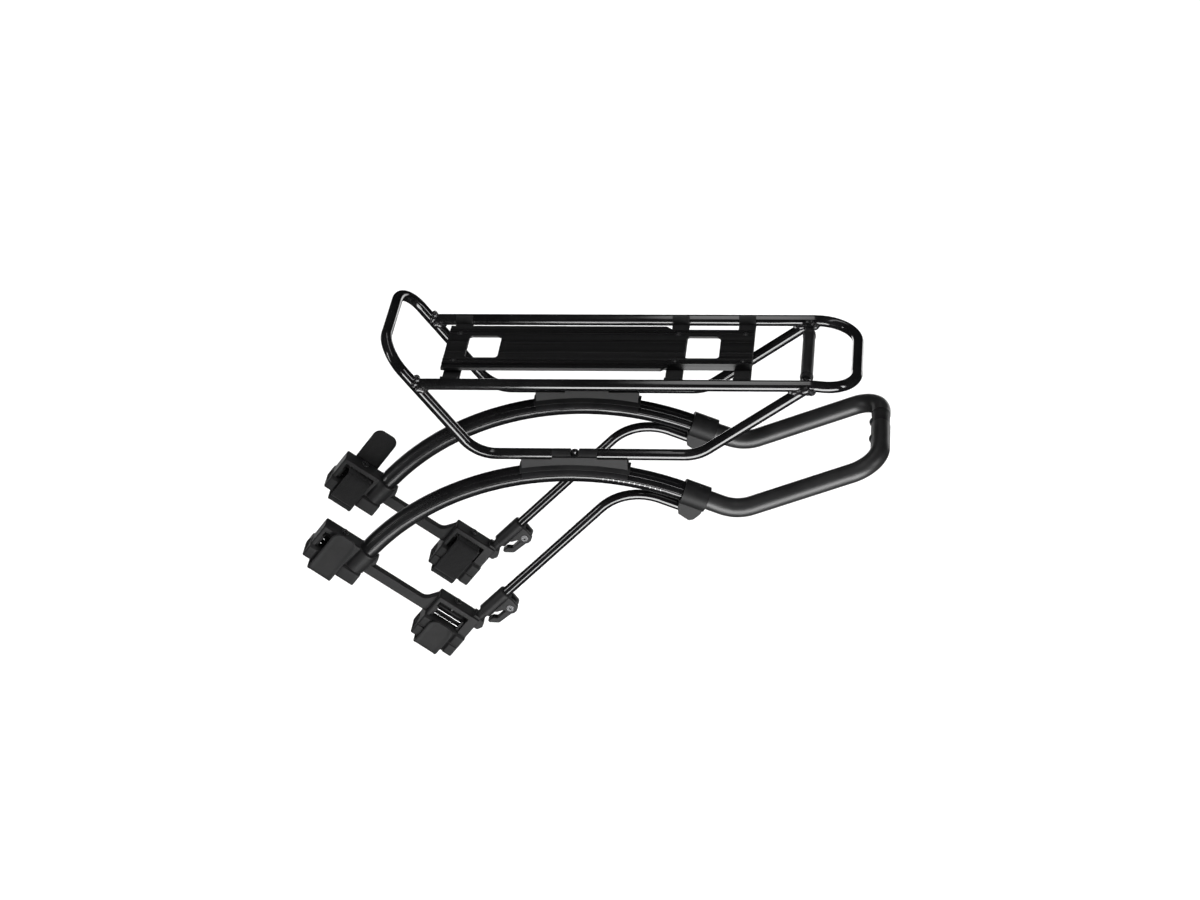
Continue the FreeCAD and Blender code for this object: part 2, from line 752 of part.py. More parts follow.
def strut_foot(side):
    """Moulded foot: a sleeve on the strut, a socket for the stub, two cheeks for the lever."""
    sleeve = Part.makeCylinder(foot_half, foot_end_x - foot_start, V(foot_start, 0, 0), X_AXIS)
    sleeve = sleeve.makeChamfer(0.8, [e for e in sleeve.Edges if e.Closed])
    cheek_low = -pivot_down - cheek_r
    cheeks = outline([(10.0, -3.0), (foot_end_x, -3.0), (foot_end_x, -8.6),
                      (foot_end_x - 1.6, cheek_low + 1.8), (pivot_along + 1.6, cheek_low - 0.2),
                      (pivot_along - 4.4, cheek_low - 0.2), (pivot_along - cheek_r - 0.3, -9.0),
                      (11.5, -6.2)],
                     [0, 0, 2.0, 3.0, 2.5, 5.0, 2.5, 3.0], 2 * foot_half)
    rims = [e for e in cheeks.Edges if abs(e.BoundBox.YLength) < 0.01]
    cheeks = rounded_or_plain(cheeks, rims, 1.2)
    slot_top = -foot_half + 0.6
    slot = outline([(pivot_along - 16, slot_top), (foot_end_x + 2, slot_top), (foot_end_x + 2, -30),
                    (pivot_along - 16, -30)], [0, 0, 0, 0], 2 * (lever_half + moving_gap))
    bore = Part.makeCylinder(strut_r + weld_gap, foot_end_x, V(strut_stop - 0.2, 0, 0), X_AXIS)
    solid = foot_frame(fuse([sleeve, cheeks]).cut([slot, bore]), side)
    low_end = foot_end + V(0, side * half_track, 0)
    stub_top = low_end + release_dir * (stub_reach + 0.5)
    stub_hole = cylinder(stub_r + running_gap, low_end - release_dir * 3, stub_top)
    pivot = pivot_point() + V(0, side * half_track, 0)
    pin = cylinder(pivot_r + weld_gap, pivot - V(0, 12, 0), pivot + V(0, 12, 0))
    head = cylinder(pivot_head_r + weld_gap, pivot - V(0, foot_half + 1, 0), pivot - V(0, pivot_seat, 0))
    return largest(solid.cut([stub_hole, pin, head]))


def lever_screw(side):
    """Cap screw that the lever turns on."""
    pivot = pivot_point() + V(0, side * half_track, 0)
    face = pivot - V(0, pivot_seat, 0)
    head = cylinder(pivot_head_r, face - V(0, 1.7, 0), face)
    shank = cylinder(pivot_r, face, pivot + V(0, foot_half - 1.0, 0))
    socket = cylinder(1.4, face - V(0, 3, 0), face - V(0, 0.7, 0))
    return fuse([head, shank]).cut(socket)


def lever(side):
    """Cam lever with a round hub and a hooked finger pull."""
    x = pivot_along
    z = -pivot_down
    pull = outline([(x, z + 2.0), (x - 7.6, z - 0.4), (x - 18.6, z - 0.2), (x - 21.4, z + 3.4),
                    (x - 27.0, z + 4.2), (x - 27.6, z + 1.8), (x - 21.4, z - 4.9), (x - 5.0, z - 6.3),
                    (x, z - 4.6)],
                   [0, 8.0, 2.0, 2.5, 1.0, 1.0, 3.5, 5.0, 0], 2 * lever_half)
    rims = [e for e in pull.Edges if abs(e.BoundBox.YLength) < 0.01]
    pull = rounded_or_plain(pull, rims, 0.8)
    hub = Part.makeCylinder(hub_r, 2 * lever_half, V(x, -lever_half, z), Y_AXIS)
    solid = foot_frame(fuse([pull, hub]), side)
    pivot = pivot_point() + V(0, side * half_track, 0)
    return solid.cut(cylinder(pivot_r + running_gap, pivot - V(0, 10, 0), pivot + V(0, 10, 0)))


def rounded_or_plain(shape, edges, radius):
    """Rounds the edges where the outline leaves room, else leaves them sharp."""
    try:
        rounded = shape.makeFillet(radius, edges)
    except Part.OCCError:
        return shape
    if rounded.isValid() and rounded.Solids:
        return rounded
    return shape


# ---- Brackets on the seat stays ----------------------------------------------
upper_end = 42.0            # back end of the upper block, under the arm's socket
lower_end = 43.5
wall_front = 3.5            # block wall in front of the window
window_end = 34.5
window_top = -4.5
link_top = -12.5
link_base = -22.2
link_half = 3.4
boss_r = 11.0
boss_top = 5.7              # the socket's mouth and base, down the plug from the arm's front end
boss_base = 27.5
bolt_y = 2.0
bolt_r = 2.0
bolt_head_room = 3.5
bolt_seat = -1.6            # floor of the head's recess, below the block's top
upper_bolt_s = 20.0
lower_bolt_s = 18.6
stub_foot = 9.0


def socket_axis():
    """Direction of the socket, in the block's frame."""
    return vec_polar(release_angle + bracket_angle)


def socket_point():
    """Front end of the arm's arc, in the upper block's frame."""
    turn = FreeCAD.Rotation(Y_AXIS, -bracket_angle)
    return turn.multVec(on_arc(arm_front_angle)) + V(upper_clamp_s, 0, upper_clamp_t)


def block(end):
    """Block with rounded upper edges."""
    body = box(0, end, -block_half, block_half, block_base, 0)
    return rounded_or_plain(body, [e for e in body.Edges if e.CenterOfMass.z > block_base + 1], 1.4)


def window():
    """Room for the strap and its tensioner through a block, open at the block's base."""
    return box(wall_front, window_end, -block_half - 1, block_half + 1, block_base - 1, window_top)


def bolt_hole(s):
    hole = Part.makeCylinder(bolt_r + running_gap, 12, V(s, bolt_y, -9), Z_AXIS)
    recess = Part.makeCylinder(bolt_head_room + running_gap, 6, V(s, bolt_y, bolt_seat), Z_AXIS)
    return hole.fuse(recess)


def stay_bracket(side):
    """Upper and lower block joined by a link, with the arm's socket and the strut's stub."""
    axis = socket_axis()
    arm_end = socket_point()
    mouth = arm_end - axis * boss_top
    boss = Part.makeCylinder(boss_r, boss_base - boss_top, mouth, axis * -1)
    mouth_rim = [e for e in boss.Edges if e.Closed and (e.CenterOfMass - mouth).Length < 1]
    boss = boss.makeFillet(1.5, mouth_rim)
    ear = outline([(50, -1), (58, -1.5), (59.5, -8.5), (55, -14), (50, -14)], [0, 1.5, 2, 2, 0], 7)
    link = outline([(50, link_base), (lower_s + 2, link_base), (lower_s + 2, lower_t - 2),
                    (lower_s - 0.5, lower_t - 2), (lower_s - 8, link_top), (50, link_top)],
                   [0, 0, 0, 0, 8, 0], 2 * link_half)
    low_block = moved(block(lower_end), V(lower_s, 0, lower_t))
    low_ear = outline([(40, -0.5), (48.5, -0.5), (50, -6.0), (47.5, -11.0), (40, -11.0)],
                      [0, 1.5, 2, 2, 0], 8)
    stub_end = V(foot_s, 0, foot_t) + axis * stub_reach
    stub = cylinder(stub_r, V(foot_s, 0, foot_t) - axis * stub_foot, stub_end)
    tip = [e for e in stub.Edges if e.Closed and (e.CenterOfMass - stub_end).Length < 1]
    stub = stub.makeChamfer(0.8, tip)
    shoulder = box(36, lower_end, -5.5, 5.5, -6, 2.5)
    shoulder = rounded_or_plain(shoulder, shoulder.Edges, 1.2)
    low_parts = [moved(part, V(lower_s, 0, lower_t)) for part in (low_ear, stub, shoulder)]
    solid = fuse([block(upper_end), boss, ear, link, low_block] + low_parts)
    plug_hole = Part.makeCylinder(plug_r + running_gap, plug_length + 1.0, arm_end + axis * 0.5, axis * -1)
    arm_room = Part.makeCylinder(arm_r + moving_gap, 6.0 + moving_gap, arm_end + axis * 6, axis * -1)
    cutters = [plug_hole, arm_room, window(), bolt_hole(upper_bolt_s)]
    for cutter in (window(), bolt_hole(lower_bolt_s)):
        cutters.append(moved(cutter, V(lower_s, 0, lower_t)))
    return from_upper(largest(solid.cut(cutters)), side)


pad_half = 11.0
pad_front = -0.5
upper_pad_end = 53.5
upper_pad_base = -37.0
lower_pad_base = -47.5


def clamp_cut(s, t):
    """The seat stay's own space, in a block's frame."""
    a = math.radians(-stay_tilt)
    along = V(math.cos(a), 0, math.sin(a))
    middle = V(s, 0, t)
    return cylinder(stay_r, middle - along * 60, middle + along * 60)


def pad(end, base, rows, clamp_s, clamp_t):
    """Soft pad with a hollow for the seat stay and ribbed flanks."""
    top = block_base - weld_gap
    body = box(pad_front, end, -pad_half + 1.2, pad_half - 1.2, base, top)
    body = rounded_or_plain(body, [e for e in body.Edges if e.CenterOfMass.z < top - 1], 2.0)
    height = (top - base) / rows
    lobes = []
    for row in range(rows):
        z0 = base + row * height
        for s0, s1 in ((pad_front, 8.0), (34.0, end)):
            for y_side in (-1, 1):
                y0, y1 = sorted((y_side * (pad_half - 2.6), y_side * pad_half))
                lobe = box(s0, s1, y0, y1, z0 + 0.4, z0 + height - 0.4)
                lobes.append(rounded_or_plain(lobe, lobe.Edges, 1.1))
    solid = fuse([body] + lobes).cut(clamp_cut(clamp_s, clamp_t))
    return largest(solid)


def upper_pad(side):
    return from_upper(pad(upper_pad_end, upper_pad_base, 1, upper_clamp_s, upper_clamp_t), side)


def lower_pad(side):
    return from_lower(pad(lower_end, lower_pad_base, 2, lower_clamp_s, lower_clamp_t), side)


# ---- Straps and their tensioners ----------------------------------------------
strap_thick = 2.0
strap_width = 24.0
strap_off = pad_half + moving_gap + strap_thick / 2
strap_curve = 9.0
strap_tip_r = 8.0
strap_room = 1.1            # under the stay, which slopes more than the strap


def strap_loop(clamp_t, front_points, front_bends, s0):
    """Band from the carriage's back, round under the seat stay, and up the front."""
    bottom = clamp_t - stay_r - strap_room - strap_thick / 2
    points = [(6.4, -14.0), (strap_off, -14.0), (strap_off, bottom), (-strap_off, bottom)] + front_points
    bends = [3.0, strap_curve, strap_curve] + front_bends
    return band(points, bends, strap_thick, s0, s0 + strap_width)


def round_tip(strap_shape, tip, s0):
    """Rounds the free end's corners."""
    radius = strap_tip_r
    cutters = []
    for corner, inward in ((s0, 1), (s0 + strap_width, -1)):
        square = box(min(corner, corner + inward * radius), max(corner, corner + inward * radius),
                     -20, 20, tip - radius, tip + 1)
        disc = Part.makeCylinder(radius, 40, V(corner + inward * radius, -20, tip - radius), Y_AXIS)
        cutters.append(square.cut(disc))
    return strap_shape.cut(cutters)


def left_upper_strap():
    s0 = 10.2
    tip = 5.0
    shape = strap_loop(upper_clamp_t, [(-strap_off, tip)], [], s0)
    return from_upper(round_tip(shape, tip, s0), -1)


def left_lower_strap():
    s0 = 7.0
    tip = -20.5
    shape = strap_loop(lower_clamp_t, [(-strap_off, tip)], [], s0)
    return from_lower(round_tip(shape, tip, s0), -1)


def right_upper_strap():
    s0 = 9.5
    tip = 35.5
    through = -8.6
    front = [(-strap_off, through), (9.6, through), (11.4, tip)]
    shape = round_tip(strap_loop(upper_clamp_t, front, [2.5, 2.0], s0), tip, s0)
    bolt_room = Part.makeCylinder(bolt_r + moving_gap, 12, V(upper_bolt_s, bolt_y, through - 6), Z_AXIS)
    return from_upper(shape.cut(bolt_room), 1)


def right_lower_strap():
    s0 = 7.0
    through = -8.6
    shape = strap_loop(lower_clamp_t, [(-strap_off, through), (0.0, through)], [2.5], s0)
    return from_lower(shape, 1)


carriage_top = -11.6
carriage_base = -23.0
cheek_thick = 2.6
rod_r = 1.0
rod_y = -3.6
rod_heights = (-14.2, -19.6)


def carriage(bolt_s):
    """Slider in the window: a back bar with two cheeks for the rods."""
    s0 = wall_front + moving_gap
    s1 = window_end - moving_gap
    bar = box(s0, s1, -1.4, 5.4, carriage_base, carriage_top)
    cheeks = [box(s0, s0 + cheek_thick, -5.2, -1.4, carriage_base, carriage_top),
              box(s1 - cheek_thick, s1, -5.2, -1.4, carriage_base, carriage_top)]
    cutters = [Part.makeCylinder(bolt_r + running_gap, 30, V(bolt_s, bolt_y, -35), Z_AXIS)]
    for t in rod_heights:
        cutters.append(Part.makeCylinder(rod_r + weld_gap, s1 - s0 + 2, V(s0 - 1, rod_y, t), X_AXIS))
    return fuse([bar] + cheeks).cut(cutters)


def rods():
    """Two steel rods across the carriage."""
    s0 = wall_front + moving_gap + 0.1
    s1 = window_end - moving_gap - 0.1
    pins = [Part.makeCylinder(rod_r, s1 - s0, V(s0, rod_y, t), X_AXIS) for t in rod_heights]
    return Part.makeCompound(pins)


def tension_bolt(bolt_s):
    """Cap screw in the block's top that pulls the carriage up."""
    length = 19.0
    seat = bolt_seat + running_gap
    head = Part.makeCylinder(bolt_head_room, 2.6, V(bolt_s, bolt_y, seat), Z_AXIS)
    shank = Part.makeCylinder(bolt_r, length, V(bolt_s, bolt_y, seat - length), Z_AXIS)
    return fuse([head, shank]).cut(hexagon(1.6, V(bolt_s, bolt_y, seat + 1.0), 3))


# ---- Writing the nodes ----------------------------------------------------------
def platform_nodes():
    save(front_hoop_tube(), "front_hoop_tube")
    save(top_loop_tube(), "top_loop_tube")
    save(light_bar(), "light_bar")
    save(light_bar_sleeve(), "light_bar_sleeve")
    save(track_plate(), "track_plate")
    for name, x in strip_places:
        save(cross_bracket(x), name + "_cross_bracket")
    save(plate_rivets(), "plate_rivets")
    save(saddle_bolts(), "saddle_bolts")
    for name, side in SIDES:
        save(rear_stay_tube(side), name + "_rear_stay_tube")
        save(saddle(side), name + "_saddle")
        save(saddle_shoe(side), name + "_saddle_shoe")


def frame_nodes():
    save(collar_screws(), "collar_screws")
    save(loop_joint_sleeve(), "loop_joint_sleeve")
    save(loop_screws(), "loop_screws")
    for name, side in SIDES:
        save(arm(side), name + "_arm")
        save(collar(side), name + "_collar")
        save(loop_tube(side), name + "_loop_tube")
        save(strut(side), name + "_strut")
        save(strut_foot(side), name + "_strut_foot")
        save(lever_screw(side), name + "_lever_screw")
        save(lever(side), name + "_lever")


def bracket_nodes():
    levels = (("upper", from_upper, upper_bolt_s), ("lower", from_lower, lower_bolt_s))
    for name, side in SIDES:
        save(stay_bracket(side), name + "_stay_bracket")
        save(upper_pad(side), name + "_upper_pad")
        save(lower_pad(side), name + "_lower_pad")
        for level, place, bolt_s in levels:
            save(place(carriage(bolt_s), side), name + "_" + level + "_carriage")
            save(place(rods(), side), name + "_" + level + "_rods")
            save(place(tension_bolt(bolt_s), side), name + "_" + level + "_tension_bolt")
    save(left_upper_strap(), "left_upper_strap")
    save(left_lower_strap(), "left_lower_strap")
    save(right_upper_strap(), "right_upper_strap")
    save(right_lower_strap(), "right_lower_strap")


os.makedirs("parts", exist_ok=True)
platform_nodes()
frame_nodes()
bracket_nodes()
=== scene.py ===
import json
import math

import bpy
from mathutils import Matrix, Vector


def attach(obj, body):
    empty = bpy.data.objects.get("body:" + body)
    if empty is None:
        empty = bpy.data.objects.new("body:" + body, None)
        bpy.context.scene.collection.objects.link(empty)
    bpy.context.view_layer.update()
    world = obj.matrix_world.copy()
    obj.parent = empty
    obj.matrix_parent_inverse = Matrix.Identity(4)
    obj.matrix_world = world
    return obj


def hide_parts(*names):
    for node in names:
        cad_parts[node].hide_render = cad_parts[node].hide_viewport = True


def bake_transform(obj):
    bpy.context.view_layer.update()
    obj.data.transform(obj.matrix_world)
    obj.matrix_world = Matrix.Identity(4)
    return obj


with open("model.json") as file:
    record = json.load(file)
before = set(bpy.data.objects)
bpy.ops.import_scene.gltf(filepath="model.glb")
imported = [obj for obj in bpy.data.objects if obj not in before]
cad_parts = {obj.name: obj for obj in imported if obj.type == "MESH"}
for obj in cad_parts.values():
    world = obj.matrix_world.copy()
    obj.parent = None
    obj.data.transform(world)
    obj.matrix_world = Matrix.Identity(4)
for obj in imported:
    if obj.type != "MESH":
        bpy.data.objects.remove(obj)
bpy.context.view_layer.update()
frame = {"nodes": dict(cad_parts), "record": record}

MM = 0.001

# ---- The rack's own measures, in millimetres and degrees -------------------------
# x runs back, y to the rider's right and z up. On a bracket, s runs along its spine, down
# and back, and t runs square to it, away from the seat stay. The row's origin lies
# halfway between the middles of the two upper clamps.
half_track = 57.0
arc_radius = 251.5
arc_x = 225.1
arc_z = -153.4
arm_r = 8.75
rail_r = 5.0
top_rail_z = 186.1
hoop_x = 67.1
hoop_z = 221.2
leg_angle = 54.5
stay_rise = 35.5
stay_top_x = 433.7
light_bar_x = 430.1
light_bar_z = 182.6
light_bar_r = 4.0
bracket_angle = 38.0
upper_clamp_s = 25.5
upper_clamp_t = -34.5
stay_tilt = 3.5
stay_r = 8.5
lower_s = 123.0
lower_t = 1.3
lower_clamp_s = 20.28
lower_clamp_t = -43.0
block_base = -23.5
pad_half = 11.0
pad_front = -0.5
pad_ends = {"upper": 53.5, "lower": 43.5}
pad_bases = {"upper": -37.0, "lower": -47.5}
pad_rows = {"upper": 1, "lower": 2}
clamps = {"upper": (upper_clamp_s, upper_clamp_t), "lower": (lower_clamp_s, lower_clamp_t)}
strap_width = 24.0
strap_thick = 2.0
strap_off = 12.3
strap_room = 1.1
sides = (("left", -1), ("right", 1))


# ---- Node graphs ----------------------------------------------------------------
noise_low = 0.3
noise_high = 0.7
bevel_samples = 4


class Graph:
    """A material's node tree, with short calls for the nodes used here."""

    def __init__(self, name):
        self.material = bpy.data.materials.new(name)
        self.material.use_nodes = True
        self.tree = self.material.node_tree
        self.shader = self.tree.nodes["Principled BSDF"]

    def node(self, kind, values=(), **settings):
        made = self.tree.nodes.new(kind)
        for name, value in settings.items():
            setattr(made, name, value)
        for socket, value in values:
            if isinstance(value, bpy.types.NodeSocket):
                self.tree.links.new(value, made.inputs[socket])
            else:
                made.inputs[socket].default_value = value
        return made

    def place(self):
        """The object's own coordinates, in metres."""
        return self.node("ShaderNodeTexCoord").outputs["Object"]

    def stretched(self, scale):
        """Those coordinates times a factor for each axis."""
        return self.node("ShaderNodeVectorMath", [(0, self.place()), (1, scale)],
                         operation="MULTIPLY").outputs[0]

    def noise(self, scale, detail=2.0, rough=0.5, vector=None):
        vector = self.place() if vector is None else vector
        values = [("Vector", vector), ("Scale", scale), ("Detail", detail), ("Roughness", rough)]
        return self.node("ShaderNodeTexNoise", values).outputs["Fac"]

    def math(self, operation, a, b=0.0, clamp=False):
        return self.node("ShaderNodeMath", [(0, a), (1, b)], operation=operation,
                         use_clamp=clamp).outputs[0]

    def spread(self, value, to_low=0.0, to_high=1.0, low=noise_low, high=noise_high):
        """The span from low to high of a value, stretched to another span."""
        values = [("Value", value), ("From Min", low), ("From Max", high),
                  ("To Min", to_low), ("To Max", to_high)]
        return self.node("ShaderNodeMapRange", values).outputs[0]

    def blend(self, amount, first, second):
        values = [("Factor", amount), (6, (*first, 1.0)), (7, (*second, 1.0))]
        return self.node("ShaderNodeMix", values, data_type="RGBA").outputs[2]

    def shade(self, field, dark, light, low=noise_low, high=noise_high):
        """Colour that goes from dark to light over the middle of a noise field."""
        return self.blend(self.spread(field, low=low, high=high), dark, light)

    def softened(self, radius):
        """The surface normal with its edges rounded."""
        return self.node("ShaderNodeBevel", [("Radius", radius)], samples=bevel_samples).outputs[0]

    def edge_wear_and_highlight(self, radius):
        """Near 1 on outside edges, 0 on open faces: the mask for paler edges, partly rubbed wear and
        partly painted edge highlight.
        """
        soft = self.softened(radius)
        sharp = self.node("ShaderNodeNewGeometry").outputs["Normal"]
        along = self.node("ShaderNodeVectorMath", [(0, soft), (1, sharp)],
                          operation="DOT_PRODUCT").outputs["Value"]
        return self.spread(along, low=1.0, high=0.8)

    def relief(self, height, distance, strength=1.0, under=None, round_edges=0.0):
        """Bump from a height, over another bump or over softly rounded edges."""
        values = [("Height", height), ("Distance", distance), ("Strength", strength)]
        if under is not None:
            values.append(("Normal", under))
        elif round_edges:
            values.append(("Normal", self.softened(round_edges)))
        return self.node("ShaderNodeBump", values).outputs[0]

    def finish(self, colour, roughness, normal, **constants):
        for socket, value in (("Base Color", colour), ("Roughness", roughness), ("Normal", normal)):
            self.tree.links.new(value, self.shader.inputs[socket])
        for name, value in constants.items():
            self.shader.inputs[name.replace("_", " ")].default_value = value
        return self.material


# ---- Materials -------------------------------------------------------------------
def gloss_black_tube():
    """Gloss black powder coat: orange peel, and a little dust-grey variation."""
    g = Graph("gloss_black_powder")
    peel = g.noise(scale=650, detail=2.0)
    cloud = g.noise(scale=28, detail=4.0, rough=0.6)
    colour = g.shade(cloud, dark=(0.0035, 0.0035, 0.0038), light=(0.0075, 0.0075, 0.0078), low=0.35)
    rough = g.spread(cloud, to_low=0.08, to_high=0.13)
    normal = g.relief(peel, distance=0.000002, strength=0.15, round_edges=0.0004)
    return g.finish(colour, rough, normal, Specular_IOR_Level=0.8, Coat_Weight=0.3, Coat_Roughness=0.06)


def painted_weld():
    """The same paint over the rough skin of a weld."""
    g = Graph("painted_weld")
    lumps = g.noise(scale=420, detail=3.0, rough=0.6)
    colour = g.blend(lumps, (0.0035, 0.0035, 0.0038), (0.012, 0.012, 0.0123))
    rough = g.spread(lumps, to_low=0.12, to_high=0.24)
    normal = g.relief(lumps, distance=0.0006, strength=0.8)
    return g.finish(colour, rough, normal, Specular_IOR_Level=0.8, Coat_Weight=0.3, Coat_Roughness=0.08)


def black_arm():
    """Black anodised bar with fine lines along its curve, duller toward its front end."""
    g = Graph("black_anodised_bar")
    line_stretch = 0.02
    front_x, crest_x = 0.06, 0.26
    parts = g.node("ShaderNodeSeparateXYZ", [(0, g.place())]).outputs
    dx = g.math("SUBTRACT", parts[0], arc_x * MM)
    dz = g.math("SUBTRACT", parts[2], arc_z * MM)
    out = g.math("SQRT", g.math("ADD", g.math("MULTIPLY", dx, dx), g.math("MULTIPLY", dz, dz)))
    turn = g.math("MULTIPLY", g.math("ARCTAN2", dz, dx), line_stretch)
    along_arc = g.node("ShaderNodeCombineXYZ", [(0, out), (1, parts[1]), (2, turn)]).outputs[0]
    lines = g.noise(scale=5200, detail=2.0, rough=0.5, vector=along_arc)
    cloud = g.noise(scale=40, detail=3.0)
    colour = g.shade(cloud, dark=(0.003, 0.003, 0.0033), light=(0.006, 0.006, 0.0063))
    grain = g.spread(lines, to_low=-0.015, to_high=0.015)
    duller = g.spread(parts[0], to_low=0.3, to_high=0.13, low=front_x, high=crest_x)
    rough = g.math("ADD", duller, grain)
    normal = g.relief(lines, distance=0.0000006, strength=0.1)
    return g.finish(colour, rough, normal, Specular_IOR_Level=0.8)


def black_loop():
    """Fine-grained satin black finish."""
    g = Graph("satin_black_loop")
    grain = g.noise(scale=2400, detail=3.0, rough=0.65)
    cloud = g.noise(scale=35, detail=4.0, rough=0.55)
    colour = g.shade(cloud, dark=(0.006, 0.006, 0.0062), light=(0.012, 0.012, 0.0123))
    rough = g.spread(grain, to_low=0.38, to_high=0.48)
    normal = g.relief(grain, distance=0.00002, strength=0.5)
    return g.finish(colour, rough, normal, Specular_IOR_Level=0.8)


def anodised_deck():
    """Extruded plate: fine and broad die lines along it under black anodising."""
    g = Graph("anodised_extrusion")
    edge_share = 0.8
    lines = g.noise(scale=1.0, detail=3.0, rough=0.6, vector=g.stretched((9.0, 1900.0, 1900.0)))
    bands = g.noise(scale=1.0, detail=2.0, rough=0.6, vector=g.stretched((1.2, 460.0, 30.0)))
    # Paler edges: painted edge highlight along plate and rib edges, partly rubbed wear.
    edge = g.math("MULTIPLY", g.edge_wear_and_highlight(radius=0.0004), edge_share)
    tone = g.math("ADD", g.spread(bands, to_high=0.6, low=0.4, high=0.62), edge, clamp=True)
    colour = g.blend(tone, (0.0025, 0.0025, 0.0027), (0.016, 0.016, 0.0165))
    rough = g.spread(g.math("ADD", lines, bands), to_low=0.24, to_high=0.5, low=0.7, high=1.3)
    normal = g.relief(lines, distance=0.00003, strength=0.35, round_edges=0.0004)
    return g.finish(colour, rough, normal, Metallic=0.25, Specular_IOR_Level=0.5)


def painted_strip():
    """Textured black paint on sheet metal."""
    g = Graph("textured_paint")
    grain = g.noise(scale=1500, detail=3.0, rough=0.6)
    cloud = g.noise(scale=45, detail=3.0)
    colour = g.shade(cloud, dark=(0.006, 0.006, 0.0062), light=(0.011, 0.011, 0.0112))
    rough = g.spread(grain, to_low=0.42, to_high=0.6)
    normal = g.relief(grain, distance=0.00006, strength=0.5, round_edges=0.0005)
    return g.finish(colour, rough, normal, Specular_IOR_Level=0.35)


def moulded(name, dark, light, rough_low, rough_high, grain_scale, depth, edges, **constants):
    """Moulded plastic or rubber: spark-eroded grain, flow marks, and paler edges that are partly rubbed
    wear and partly painted edge highlight.
    """
    g = Graph(name)
    flow_share = 0.5
    flow_depth = 4
    grain = g.noise(grain_scale, detail=3.0, rough=0.65)
    flow = g.noise(scale=1.0, detail=3.0, rough=0.5, vector=g.stretched((70.0, 150.0, 70.0)))
    # Paler edges: painted edge highlight, partly rubbed wear.
    edge = g.math("MULTIPLY", g.edge_wear_and_highlight(radius=0.0007), edges)
    tone = g.math("ADD", g.spread(flow, to_low=0.05, to_high=0.3), edge, clamp=True)
    colour = g.blend(tone, dark, light)
    mixed = g.math("ADD", grain, g.math("MULTIPLY", flow, flow_share))
    rough = g.spread(mixed, rough_low, rough_high, low=0.5, high=1.1)
    normal = g.relief(grain, depth, strength=0.55, round_edges=0.0005)
    normal = g.relief(flow, depth * flow_depth, strength=0.25, under=normal)
    return g.finish(colour, rough, normal, **constants)


def black_nylon():
    return moulded("glass_filled_nylon", dark=(0.003, 0.003, 0.0032), light=(0.026, 0.026, 0.0265),
                   rough_low=0.42, rough_high=0.6, grain_scale=1900, depth=0.00005, edges=0.6,
                   Specular_IOR_Level=0.28)


def nylon_liner():
    return moulded("nylon_liner", dark=(0.006, 0.006, 0.0065), light=(0.015, 0.015, 0.0155),
                   rough_low=0.25, rough_high=0.4, grain_scale=2600, depth=0.00002, edges=0.35,
                   Specular_IOR_Level=0.4)


def soft_rubber():
    return moulded("soft_rubber", dark=(0.0027, 0.0027, 0.0029), light=(0.022, 0.022, 0.0225),
                   rough_low=0.5, rough_high=0.72, grain_scale=1300, depth=0.00007, edges=0.6,
                   Specular_IOR_Level=0.22, Sheen_Weight=0.05)


def strap_smooth():
    """Coated strap: a close weave printed through a smooth face."""
    g = Graph("coated_strap")
    weave = woven_height(g, pitch=0.00115)
    cloud = g.noise(scale=60, detail=4.0, rough=0.6)
    grain = g.noise(scale=3000, detail=2.0)
    colour = g.shade(cloud, dark=(0.006, 0.006, 0.0062), light=(0.0105, 0.0105, 0.0108))
    rough = g.spread(grain, to_low=0.5, to_high=0.64)
    normal = g.relief(weave, distance=0.00006, strength=0.35)
    normal = g.relief(grain, distance=0.00003, strength=0.4, under=normal)
    return g.finish(colour, rough, normal, Specular_IOR_Level=0.2, Sheen_Weight=0.04)


def strap_looped():
    """Loop face of a hook-and-loop strap: a deep fuzzy weave."""
    g = Graph("loop_strap")
    weave_share = 0.6
    fuzz_share = 0.7
    weave = woven_height(g, pitch=0.0014)
    fuzz = g.noise(scale=760, detail=4.0, rough=0.75)
    height = g.math("ADD", g.math("MULTIPLY", weave, weave_share), g.math("MULTIPLY", fuzz, fuzz_share))
    colour = g.shade(height, dark=(0.0006, 0.0006, 0.0007), light=(0.02, 0.02, 0.0205), low=0.6, high=1.1)
    rough = g.spread(fuzz, to_low=0.75, to_high=0.95)
    normal = g.relief(height, distance=0.00025, strength=0.8)
    return g.finish(colour, rough, normal, Specular_IOR_Level=0.1, Sheen_Weight=0.06, Sheen_Roughness=0.4)


def woven_height(g, pitch):
    """Plain weave in the strap's own length and width, from its map."""
    parts = g.node("ShaderNodeSeparateXYZ",
                   [(0, g.node("ShaderNodeUVMap", uv_map="strap").outputs[0])]).outputs
    long = g.math("SINE", g.math("MULTIPLY", parts[0], math.tau / pitch))
    wide = g.math("SINE", g.math("MULTIPLY", parts[1], math.tau / pitch))
    return g.math("ABSOLUTE", g.math("ADD", long, wide))


def dark_steel():
    """Black-oxide steel with paler edges, partly rubbed wear and partly painted edge highlight."""
    g = Graph("black_oxide_steel")
    edge_share = 0.8
    grain = g.noise(scale=1400, detail=3.0, rough=0.6)
    # Edges paled up to a bright grey: painted edge highlight, partly rubbed wear.
    edge = g.math("MULTIPLY", g.edge_wear_and_highlight(radius=0.0003), edge_share)
    tone = g.math("ADD", g.spread(grain, to_high=0.4), edge, clamp=True)
    colour = g.blend(tone, (0.02, 0.02, 0.021), (0.36, 0.36, 0.365))
    rough = g.spread(grain, to_low=0.22, to_high=0.38)
    normal = g.relief(grain, distance=0.00002, strength=0.4, round_edges=0.0002)
    return g.finish(colour, rough, normal, Metallic=0.9)


